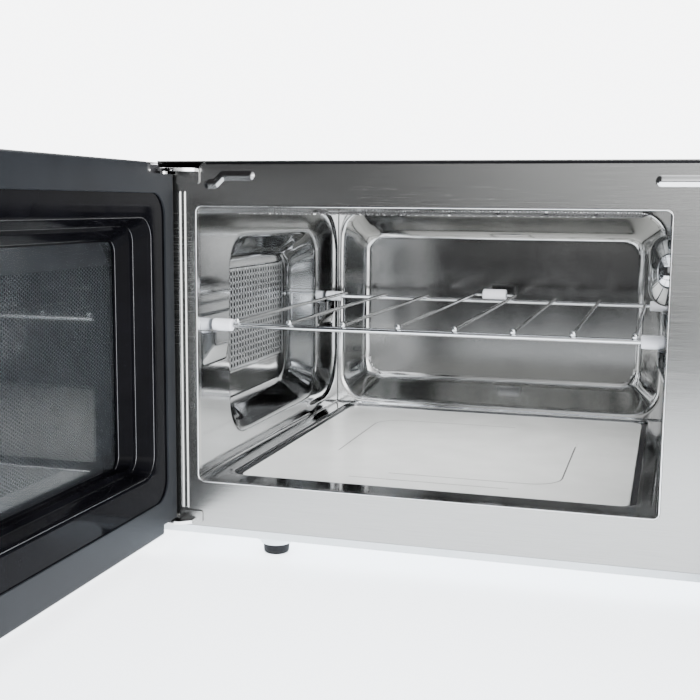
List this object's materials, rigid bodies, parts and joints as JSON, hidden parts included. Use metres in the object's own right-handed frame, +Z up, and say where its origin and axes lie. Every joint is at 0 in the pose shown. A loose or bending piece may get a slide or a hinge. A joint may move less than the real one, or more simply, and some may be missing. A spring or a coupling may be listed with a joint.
{
  "type": "countertop combination oven",
  "caption": "Countertop combination oven standing open, with a flat ceramic cavity floor, hot-air grid, ceiling grill, sliding wire rack, side-hinged window door and push-button control panel.",
  "frame": {"origin": "on the worktop, under the centre of the overall footprint with the door open at a right angle", "axes": "+Z up, +Y from the open door towards the rear panel, +X towards the control panel"},
  "size_m": [0.577, 0.8758, 0.304],
  "materials": {
    "brushed_stainless": "brushed, horizontal grain",
    "polished_stainless": "polished cavity sheet with drawn edges",
    "zinc_sheet": "plain galvanised sheet",
    "white_ceramic": "glossy opaque ceramic",
    "black_silicone": "matt seal",
    "rack_wire": "plated wire",
    "white_sleeve": "pale heat-proof sleeve",
    "slate_plastic": "satin dark slate",
    "gloss_black": "gloss black enamel",
    "screen_metal": "black perforated sheet",
    "clear_glass": "clear",
    "smoked_glass": "smoked outer pane",
    "black_rubber": "matt",
    "black_plastic": "moulded",
    "pale_base": "pale powder coat",
    "motor_steel": "motor can",
    "board_green": "circuit board",
    "heater_sheath": "heat-darkened sheath",
    "knob_metal": "turned cap"
  },
  "bodies": {
    "oven": {"front_plate": "brushed_stainless", "cavity_left_wall": "polished_stainless", "hot_air_grid": "polished_stainless", "cavity_right_wall": "polished_stainless", "lamp_dome": "clear_glass", "cavity_lamp": "white_sleeve", "cavity_back_wall": "polished_stainless", "cavity_floor_pan": "polished_stainless", "ceramic_plate": "white_ceramic", "plate_seal": "black_silicone", "cavity_ceiling": "polished_stainless", "grill_hood": "zinc_sheet", "grill_element": "heater_sheath", "grill_guard": "polished_stainless", "hot_air_chamber": "zinc_sheet", "hot_air_motor": "motor_steel", "ring_heater": "heater_sheath", "hot_air_duct": "zinc_sheet", "stirrer_motor": "motor_steel", "waveguide": "zinc_sheet", "magnetron": "motor_steel", "inverter_board": "board_green", "blower_housing": "black_plastic", "blower_motor": "motor_steel", "outer_casing": "brushed_stainless", "rear_panel": "zinc_sheet", "motor_cover": "zinc_sheet", "cord_gland": "black_plastic", "base_pan": "pale_base", "rubber_feet": "black_rubber", "casing_screws": "rack_wire", "upper_hinge": "rack_wire", "lower_hinge": "rack_wire", "interlock_bracket": "black_plastic", "interlock_switches": "black_plastic", "control_fascia": "brushed_stainless", "display_window": "gloss_black", "knob_encoder": "black_plastic", "control_board": "board_green"},
    "door": {"door_frame": "slate_plastic", "door_choke_ring": "gloss_black", "door_inner_glass": "clear_glass", "door_screen": "screen_metal", "door_outer_glass": "smoked_glass", "door_front_panel": "brushed_stainless", "door_handle": "brushed_stainless", "pivot_blocks": "black_plastic"},
    "latch": {"door_latch": "black_plastic"},
    "rack": {"wire_rack": "rack_wire", "rack_sleeves": "white_sleeve"},
    "hot_air_wheel": {"hot_air_fan": "zinc_sheet"},
    "stirrer_arm": {"stirrer": "zinc_sheet"},
    "cooling_wheel": {"blower_wheel": "black_plastic"},
    "dial": {"knob": "knob_metal"},
    "button_1": {"key_1": "black_plastic"},
    "button_2": {"key_2": "black_plastic"},
    "button_3": {"key_3": "black_plastic"},
    "button_4": {"key_4": "black_plastic"},
    "button_5": {"key_5": "black_plastic"},
    "button_6": {"key_6": "black_plastic"}
  },
  "joints": [
    {"name": "door_hinge", "type": "hinge", "parent": "oven", "child": "door", "pos_m": [-0.22, -0.0326, 0.06], "axis": [0, 0, 1], "range_deg": [-15, 90]},
    {"name": "latch_lift", "type": "slide", "parent": "door", "child": "latch", "axis": [0, 0, 1], "range_m": [0, 0.003], "stiffness_N_per_m": 300, "springref_m": -0.003},
    {"name": "rack_slide", "type": "slide", "parent": "oven", "child": "rack", "axis": [0, 1, 0], "range_m": [-0.27, 0]},
    {"name": "hot_air_spin", "type": "hinge", "parent": "oven", "child": "hot_air_wheel", "pos_m": [-0.0725, 0.3724, 0.165], "axis": [0, 1, 0], "continuous": true},
    {"name": "stirrer_spin", "type": "hinge", "parent": "oven", "child": "stirrer_arm", "pos_m": [-0.0275, 0.1664, 0.044], "axis": [0, 0, 1], "continuous": true},
    {"name": "cooling_spin", "type": "hinge", "parent": "oven", "child": "cooling_wheel", "pos_m": [0.2385, 0.3704, 0.21], "axis": [0, 1, 0], "continuous": true},
    {"name": "dial_turn", "type": "hinge", "parent": "oven", "child": "dial", "pos_m": [0.2375, -0.0696, 0.112], "axis": [0, 1, 0], "continuous": true},
    {"name": "button_1_press", "type": "slide", "parent": "oven", "child": "button_1", "axis": [0, 1, 0], "range_m": [0, 0.0015], "stiffness_N_per_m": 500, "springref_m": -0.0008},
    {"name": "button_2_press", "type": "slide", "parent": "oven", "child": "button_2", "axis": [0, 1, 0], "range_m": [0, 0.0015], "stiffness_N_per_m": 500, "springref_m": -0.0008},
    {"name": "button_3_press", "type": "slide", "parent": "oven", "child": "button_3", "axis": [0, 1, 0], "range_m": [0, 0.0015], "stiffness_N_per_m": 500, "springref_m": -0.0008},
    {"name": "button_4_press", "type": "slide", "parent": "oven", "child": "button_4", "axis": [0, 1, 0], "range_m": [0, 0.0015], "stiffness_N_per_m": 500, "springref_m": -0.0008},
    {"name": "button_5_press", "type": "slide", "parent": "oven", "child": "button_5", "axis": [0, 1, 0], "range_m": [0, 0.0015], "stiffness_N_per_m": 500, "springref_m": -0.0008},
    {"name": "button_6_press", "type": "slide", "parent": "oven", "child": "button_6", "axis": [0, 1, 0], "range_m": [0, 0.0015], "stiffness_N_per_m": 500, "springref_m": -0.0008}
  ]
}
